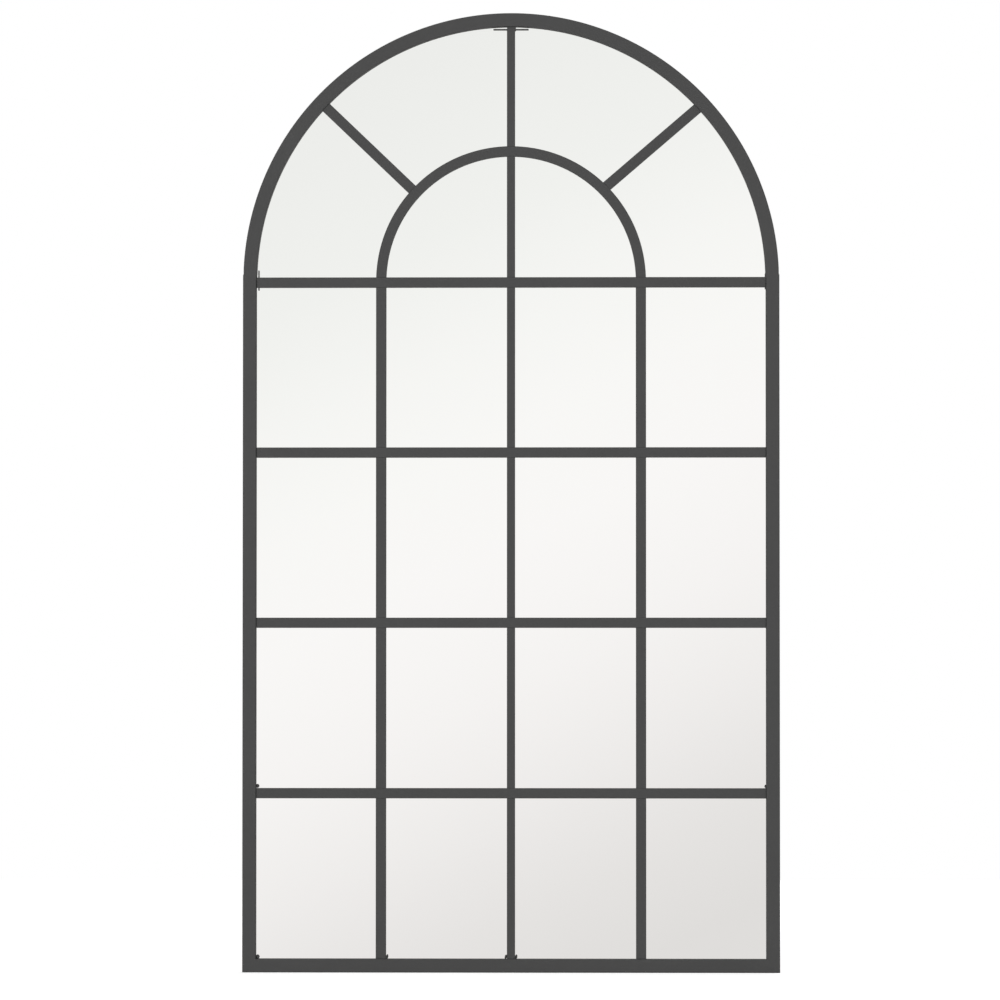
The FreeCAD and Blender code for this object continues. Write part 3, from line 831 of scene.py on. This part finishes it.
class MIRROR_OT_screws(bpy.types.Operator):
    """Drive the screws of the clips, hangers and bumpers"""
    bl_idname = "window_mirror.screws"
    bl_label = "Screws"

    def execute(self, context):
        settings = context.scene.mirror_fixing
        build = screw_tree()
        for index, (node, head, height, shank, length) in enumerate(SCREWS):
            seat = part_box(node)[1].y - height * MM - 0.02 * MM
            places = [((spot.x, seat, spot.z), (0, 0, 0), (1, 1, 1)) for spot in solid_middles(node)]
            piece = grown(f"{node}_cross", build, "zinc_steel", {
                "Head": head * MM, "Height": height * MM, "Shank": shank * MM, "Length": length * MM,
                "Recess": settings.recess, "Seed": settings.seed + index},
                places_mesh("screw_places", places), eased(0.08 * MM, 35))
            smooth_by_angle(piece, 40)
            keep(piece, ROOT, "zinc_steel", node)
        return {"FINISHED"}


def smooth_by_angle(piece, degrees):
    """Shade a piece smooth, but for its edges sharper than an angle."""
    mesh = piece.data
    mesh.shade_smooth()
    shell = bmesh.new()
    shell.from_mesh(mesh)
    for edge in shell.edges:
        if len(edge.link_faces) == 2:
            edge.smooth = edge.calc_face_angle(0.0) < math.radians(degrees)
    shell.to_mesh(mesh)
    shell.free()


# ---------------------------------------------------------------- retaining clips
def clip_tree():
    """Strips bent to an offset, on the points of a mesh."""
    build, inputs = geometry_tree("offset_clips", {
        "Object": ("Path",), "Float": ("Width", "Thickness", "Bend")})
    bend = build.plus(inputs["Bend"], build.times(inputs["Thickness"], 0.5))
    bent = build.add("GeometryNodeFilletCurve", {
        "Curve": build.shape_of(inputs["Path"]), "Radius": bend, "Count": 6, "Limit Radius": True}, mode="POLY")
    section = build.rectangle(inputs["Thickness"], inputs["Width"])
    strip = build.add("GeometryNodeCurveToMesh", {0: bent.outputs[0], 1: section, "Fill Caps": True})
    turn = build.rotation(build.named("turn"))
    return finish_tree(build, build.on_points(inputs["Geometry"], strip.outputs[0], turn), inputs)


class MIRROR_OT_clips(bpy.types.Operator):
    """Bend the offset clips that hold the board"""
    bl_idname = "window_mirror.clips"
    bl_label = "Retaining clips"

    def execute(self, context):
        settings = context.scene.mirror_fixing
        width, flange, foot, clear_of_tube = 14.0 * MM, 7.0 * MM, 16.0 * MM, 0.5 * MM
        riser = TUBE / 2 + clear_of_tube
        high, low = TUBE_BACK + STRIP / 2, BOARD_BACK + STRIP / 2
        turn_in = riser + STRIP / 2
        path = helper_curve("clip_path", [
            (-flange, high, 0), (turn_in, high, 0), (turn_in, low, 0), (riser + foot, low, 0)])
        places = []
        for spot in solid_middles("clip_screws"):
            if spot.z > SPRINGING:
                angle = math.atan2(spot.z - SPRINGING, spot.x) + math.pi
            elif spot.z < TUBE:
                angle = math.pi / 2
            else:
                angle = 0 if spot.x < 0 else math.pi
            places.append(((spot.x, 0, spot.z), (0, -angle, 0), (1, 1, 1)))
        piece = grown("retaining_clips_bent", clip_tree(), "zinc_steel", {
            "Path": path, "Width": width, "Thickness": STRIP, "Bend": settings.strip_bend},
            places_mesh("clip_places", places), eased(0.18 * MM, 50))
        outwards(piece.data)
        smooth_by_angle(piece, 35)
        keep(piece, ROOT, "zinc_steel", "retaining_clips")
        bpy.data.objects.remove(path)
        return {"FINISHED"}


# ---------------------------------------------------------------- hangers and rings
def strap(hinge):
    """Folded strap: two legs flat on the stile, with an eye round the ring's bar and a round lower end."""
    half, length, fold = 6.0 * MM, 46.0 * MM, math.radians(60)
    eye, eye_steps, columns = 2.72 * MM, 22, 12
    inner_leg, outer_leg = TUBE_BACK + STRIP / 2 + 0.01 * MM, TUBE_BACK + 1.5 * STRIP + 0.02 * MM
    around = []
    start, end = math.pi, fold - math.pi / 2
    for step in range(eye_steps + 1):
        angle = start + (end - start) * step / eye_steps
        around.append((hinge.y + eye * math.cos(angle), hinge.z + eye * math.sin(angle)))
    last_y, last_z = around[-1]
    landing_z = last_z - (last_y - outer_leg) / math.tan(fold)
    round_end, bend_z = hinge.z - length + half, hinge.z - 8 * MM
    rows = []
    for column in range(columns + 1):
        x = half * math.sin(math.pi / 2 * (2 * column / columns - 1)) * 0.999
        end_z = round_end - math.sqrt(max(half * half - x * x, 0.0))
        line = [(inner_leg, end_z), (inner_leg, round_end), (inner_leg, bend_z)] + around
        line += [(outer_leg, landing_z), (outer_leg, round_end), (outer_leg, end_z)]
        rows.append([Vector((hinge.x + x, y, z)) for y, z in line])
    count = len(rows[0])
    faces = [(c * count + i, c * count + i + 1, (c + 1) * count + i + 1, (c + 1) * count + i)
             for c in range(columns) for i in range(count - 1)]
    return [point for row in rows for point in row], faces


class MIRROR_OT_hangers(bpy.types.Operator):
    """Fold the strap hangers round the bars of the rings"""
    bl_idname = "window_mirror.hangers"
    bl_label = "Strap hangers"

    def execute(self, context):
        name, thickness = "strap_hangers_folded", STRIP - 0.02 * MM
        piece = new_object(name, shells_mesh(name, [strap(hinge) for hinge in HINGE.values()]))
        modified(piece, ("SOLIDIFY", {"thickness": thickness, "offset": 0.0, "use_even_offset": True}),
                 eased(0.16 * MM, 50))
        outwards(piece.data)
        piece.data.materials.append(finish_for("nickel_steel"))
        smooth_by_angle(piece, 35)
        keep(piece, ROOT, "nickel_steel", "strap_hangers")
        return {"FINISHED"}


def ring_tree():
    """Round wire along a D, from a rectangle whose lower corners meet in one bow."""
    build, inputs = geometry_tree("d_ring", {
        "Float": ("Width", "Drop", "Bend", "Wire", "Tilt"), "Vector": ("Place",)})
    width, drop, bend = inputs["Width"], inputs["Drop"], inputs["Bend"]
    lower = build.math("LESS_THAN", build.position()[1], 0.0)
    radius = build.plus(bend, build.times(lower, build.minus(build.times(width, 0.4995), bend)))
    path = build.add("GeometryNodeFilletCurve", {
        "Curve": build.rectangle(width, drop), "Radius": radius, "Count": 16, "Limit Radius": True}, mode="POLY")
    wire = build.add("GeometryNodeCurvePrimitiveCircle", {
        "Resolution": 24, "Radius": build.times(inputs["Wire"], 0.5)}, mode="RADIUS")
    ring = build.add("GeometryNodeCurveToMesh", {0: path.outputs[0], 1: wire.outputs[0]})
    closed = build.add("GeometryNodeMergeByDistance", {0: ring.outputs[0], "Distance": 0.05 * MM})
    down = build.vector(y=build.times(drop, -0.5))
    hung = build.add("GeometryNodeTransform", {0: closed.outputs[0], "Translation": down})
    turn = build.rotation(build.vector(build.plus(inputs["Tilt"], math.pi / 2)))
    at_hinge = build.add("GeometryNodeTransform", {
        0: hung.outputs[0], "Translation": inputs["Place"], "Rotation": turn})
    return finish_tree(build, at_hinge.outputs[0], inputs, smooth=True)


# Degrees from the upright at which a ring hangs at rest.
RING_TILT = 4.461


class MIRROR_OT_rings(bpy.types.Operator):
    """Bend the wire of the hanging rings"""
    bl_idname = "window_mirror.rings"
    bl_label = "Hanging rings"

    def execute(self, context):
        wire = context.scene.mirror_fixing.wire
        build = ring_tree()
        for body, hinge in HINGE.items():
            piece = grown(f"{body}_wire", build, "nickel_steel", {
                "Width": 20.0 * MM, "Drop": 18.0 * MM, "Bend": 3.0 * MM, "Wire": wire,
                "Tilt": math.radians(RING_TILT), "Place": tuple(hinge)})
            outwards(piece.data)
            keep(piece, body, "nickel_steel", body)
        return {"FINISHED"}


# ---------------------------------------------------------------- bumpers
def lathe(outline, centre, segments=48):
    """Closed shell turned from (radius, y) points round a level axis through a centre (x, z)."""
    verts, faces = [], []
    for radius, y in outline:
        for step in range(segments):
            angle = 2 * math.pi * step / segments
            verts.append((centre[0] + radius * math.cos(angle), y, centre[1] + radius * math.sin(angle)))
    rings = len(outline)
    for ring in range(rings):
        following = (ring + 1) % rings
        for step in range(segments):
            after = (step + 1) % segments
            faces.append((ring * segments + step, ring * segments + after,
                          following * segments + after, following * segments + step))
    return verts, faces


# Radius and height up a bumper's side, and inside its recess down from the tip, in millimetres.
BUMPER_SIDE = ((2.3, 0), (9.8, 0), (10.0, 0.3), (10.0, 1.3), (9.72, 1.7), (9.5, 2.2))
BUMPER_RECESS = ((4.75, 5.6), (4.5, 6.0), (2.3, 6.0))


class MIRROR_OT_bumpers(bpy.types.Operator):
    """Mould the rubber bumpers, with rounded rims and a recess for the screw"""
    bl_idname = "window_mirror.bumpers"
    bl_label = "Wall bumpers"

    def execute(self, context):
        foot, back = depths("wall_bumpers")
        foot += 0.02 * MM
        outline = [(radius * MM, foot + height * MM) for radius, height in BUMPER_SIDE]
        for middle, rim, start, end, steps in ((7.1 * MM, 1.4 * MM, 8, 90, 6), (5.6 * MM, 0.8 * MM, 90, 180, 5)):
            outline += [(x, back - rim + z) for x, z in arc_points((middle, 0), rim, start, end, steps)]
        outline += [(radius * MM, back - depth * MM) for radius, depth in BUMPER_RECESS]
        name = "wall_bumpers_moulded"
        mesh = shells_mesh(name, [lathe(outline, (spot.x, spot.z)) for spot in solid_middles("wall_bumpers")])
        outwards(mesh)
        mesh.materials.append(finish_for("black_rubber"))
        piece = new_object(name, mesh)
        smooth_by_angle(piece, 40)
        keep(piece, ROOT, "black_rubber", "wall_bumpers")
        return {"FINISHED"}


# ---------------------------------------------------------------- studio
# Place, level and warmth of the light that the glass reflects, from the upper left to the lower right.
GRADING = (
    (0.00, (0.879, 0.881, 0.864)), (0.19, (0.911, 0.914, 0.895)), (0.32, (0.960, 0.957, 0.941)),
    (0.42, (0.983, 0.974, 0.962)), (0.53, (0.987, 0.970, 0.964)), (0.61, (0.970, 0.951, 0.945)),
    (0.67, (0.951, 0.931, 0.925)), (0.73, (0.921, 0.900, 0.893)), (0.78, (0.893, 0.872, 0.865)),
    (0.84, (0.854, 0.833, 0.825)), (0.90, (0.818, 0.798, 0.788)), (1.00, (0.773, 0.754, 0.743)),
)


# Slant of a reflection, half its way across less its way up, at the grading's two ends.
SLANT_START, SLANT_END = -0.1120, 0.0463
FLOOR_GLOW = 0.52                # emission that only the camera sees, so that the open floor is white
LAMP_AIM, LAMP_SIZE = (0, 0, 0.8), 3.0
LAMPS = (
    ("key_lamp", (-3.4, -6.0, 1.5), "key_power"),
    ("fill_lamp", (3.6, -5.6, 0.8), "fill_power"),
    ("back_lamp", (2.4, 4.8, 2.4), "fill_power"),
)


def room(settings):
    """World that is white to the camera, and a softly graded wall of light in reflections."""
    world = bpy.data.worlds.new("studio_room")
    bpy.context.scene.world = world
    world.use_nodes = True
    build = Tree(world.node_tree)
    world.node_tree.nodes.clear()
    direction = build.add("ShaderNodeTexCoord").outputs["Generated"]
    x, y, z = build.add("ShaderNodeSeparateXYZ", {0: direction}).outputs
    towards = build.math("MAXIMUM", build.times(y, -1.0), 0.05)
    across, above = build.math("DIVIDE", x, towards), build.math("DIVIDE", z, towards)
    slant = build.minus(build.times(across, 0.5), above)
    share = build.add("ShaderNodeMapRange", {
        "Value": slant, "From Min": SLANT_START, "From Max": SLANT_END}).outputs[0]
    ramp = build.add("ShaderNodeValToRGB", {0: share})
    elements = ramp.color_ramp.elements
    while len(elements) < len(GRADING):
        elements.new(0.5)
    for stop, (place, colour) in zip(elements, GRADING):
        stop.position, stop.color = place, (*colour, 1)
    rays = build.add("ShaderNodeLightPath").outputs
    lit = build.add("ShaderNodeBackground", {"Color": (1, 1, 1, 1), "Strength": settings.room_light})
    graded = build.add("ShaderNodeBackground", {"Color": ramp.outputs[0], "Strength": 1.0})
    white = build.add("ShaderNodeBackground", {"Color": (1, 1, 1, 1), "Strength": 1.0})
    glossy = build.math("MAXIMUM", rays["Is Glossy Ray"], rays["Is Transmission Ray"])
    first = build.add("ShaderNodeMixShader", {0: glossy, 1: lit.outputs[0], 2: graded.outputs[0]})
    second = build.add("ShaderNodeMixShader", {0: rays["Is Camera Ray"], 1: first.outputs[0], 2: white.outputs[0]})
    build.add("ShaderNodeOutputWorld", {0: second.outputs[0]})


def pale_floor():
    """Plain floor that keeps the object's shadow and is white where no shadow falls."""
    made, build, shader = material("studio_floor", {
        "Base Color": (0.8, 0.8, 0.8, 1), "Roughness": 0.9, "Specular IOR Level": 0.0,
        "Emission Color": (1, 1, 1, 1)})
    rays = build.add("ShaderNodeLightPath").outputs
    link(build, build.times(rays["Is Camera Ray"], FLOOR_GLOW), shader, "Emission Strength")
    through = build.add("ShaderNodeBsdfTransparent")
    mirrored = build.math("MAXIMUM", rays["Is Glossy Ray"], rays["Is Transmission Ray"])
    mixed = build.add("ShaderNodeMixShader", {0: mirrored, 1: shader.outputs[0], 2: through.outputs[0]})
    output = next(node for node in build.tree.nodes if node.type == "OUTPUT_MATERIAL")
    build.tree.links.new(mixed.outputs[0], output.inputs["Surface"])
    mesh = bpy.data.meshes.new("studio_floor")
    reach = 5.0
    mesh.from_pydata([(-reach, -reach, 0), (reach, -reach, 0), (reach, reach, 0), (-reach, reach, 0)], [],
                     [(0, 1, 2, 3)])
    mesh.materials.append(made)
    floor = new_object("studio_floor", mesh)


def lamp(name, place, power):
    data = bpy.data.lights.new(name, "AREA")
    data.shape, data.size, data.energy = "DISK", LAMP_SIZE, power
    light = new_object(name, data)
    light.location = place
    light.rotation_mode = "QUATERNION"
    light.rotation_quaternion = (Vector(LAMP_AIM) - Vector(place)).to_track_quat("-Z", "Y")
    light.visible_glossy = False


class MIRROR_OT_studio(bpy.types.Operator):
    """Set the pale floor, the soft light and the camera at the photograph's angle"""
    bl_idname = "window_mirror.studio"
    bl_label = "Studio"

    def execute(self, context):
        settings = context.scene.mirror_studio
        room(settings)
        pale_floor()
        for name, place, power in LAMPS:
            lamp(name, place, getattr(settings, power))
        yaw, pitch, roll = 0.022109, 0.024851, 0.000129
        ahead = Vector((-math.sin(yaw) * math.cos(pitch), math.cos(yaw) * math.cos(pitch), math.sin(pitch)))
        right = Vector((math.cos(yaw), math.sin(yaw), 0))
        above = right.cross(ahead)
        turned_right = right * math.cos(roll) + above * math.sin(roll)
        turned_above = above * math.cos(roll) - right * math.sin(roll)
        data = bpy.data.cameras.new("photo_camera")
        data.sensor_width, data.lens = 36.0, settings.lens
        data.clip_start, data.clip_end = 0.1, 100.0
        camera = new_object("photo_camera", data)
        aside, height = 0.24476, 0.58053
        place = Vector((aside, -settings.camera_distance, height))
        axes = Matrix((turned_right, turned_above, -ahead)).transposed().to_4x4()
        camera.matrix_world = Matrix.Translation(place) @ axes
        context.scene.camera = camera
        context.scene.view_settings.view_transform = "Standard"
        return {"FINISHED"}


# ---------------------------------------------------------------- add-on
PIECES = (
    MIRROR_OT_finishes, MIRROR_OT_tube, MIRROR_OT_welds, MIRROR_OT_centre_bar, MIRROR_OT_plates,
    MIRROR_OT_seal, MIRROR_OT_clips, MIRROR_OT_screws, MIRROR_OT_hangers, MIRROR_OT_rings,
    MIRROR_OT_bumpers, MIRROR_OT_studio,
)


class MIRROR_PT_pieces(bpy.types.Panel):
    """Pieces of the window mirror and the sizes that they are made from"""
    bl_idname = "MIRROR_PT_pieces"
    bl_label = "Window Mirror"
    bl_space_type = "VIEW_3D"
    bl_region_type = "UI"
    bl_category = "Window Mirror"

    def draw(self, context):
        for piece in PIECES:
            self.layout.operator(piece.bl_idname)
        for name, group in SETTINGS.items():
            box = self.layout.box()
            for setting in group.__annotations__:
                box.prop(getattr(context.scene, name), setting)


def register():
    for group in SETTINGS.values():
        bpy.utils.register_class(group)
    for piece in PIECES:
        bpy.utils.register_class(piece)
    bpy.utils.register_class(MIRROR_PT_pieces)
    for name, group in SETTINGS.items():
        setattr(bpy.types.Scene, name, PointerProperty(type=group))


def unregister():
    for name in SETTINGS:
        delattr(bpy.types.Scene, name)
    bpy.utils.unregister_class(MIRROR_PT_pieces)
    for piece in reversed(PIECES):
        bpy.utils.unregister_class(piece)
    for group in reversed(SETTINGS.values()):
        bpy.utils.unregister_class(group)


def main():
    register()
    for piece in PIECES:
        group, name = piece.bl_idname.split(".")
        getattr(getattr(bpy.ops, group), name)()


if __name__ == "__main__":
    main()
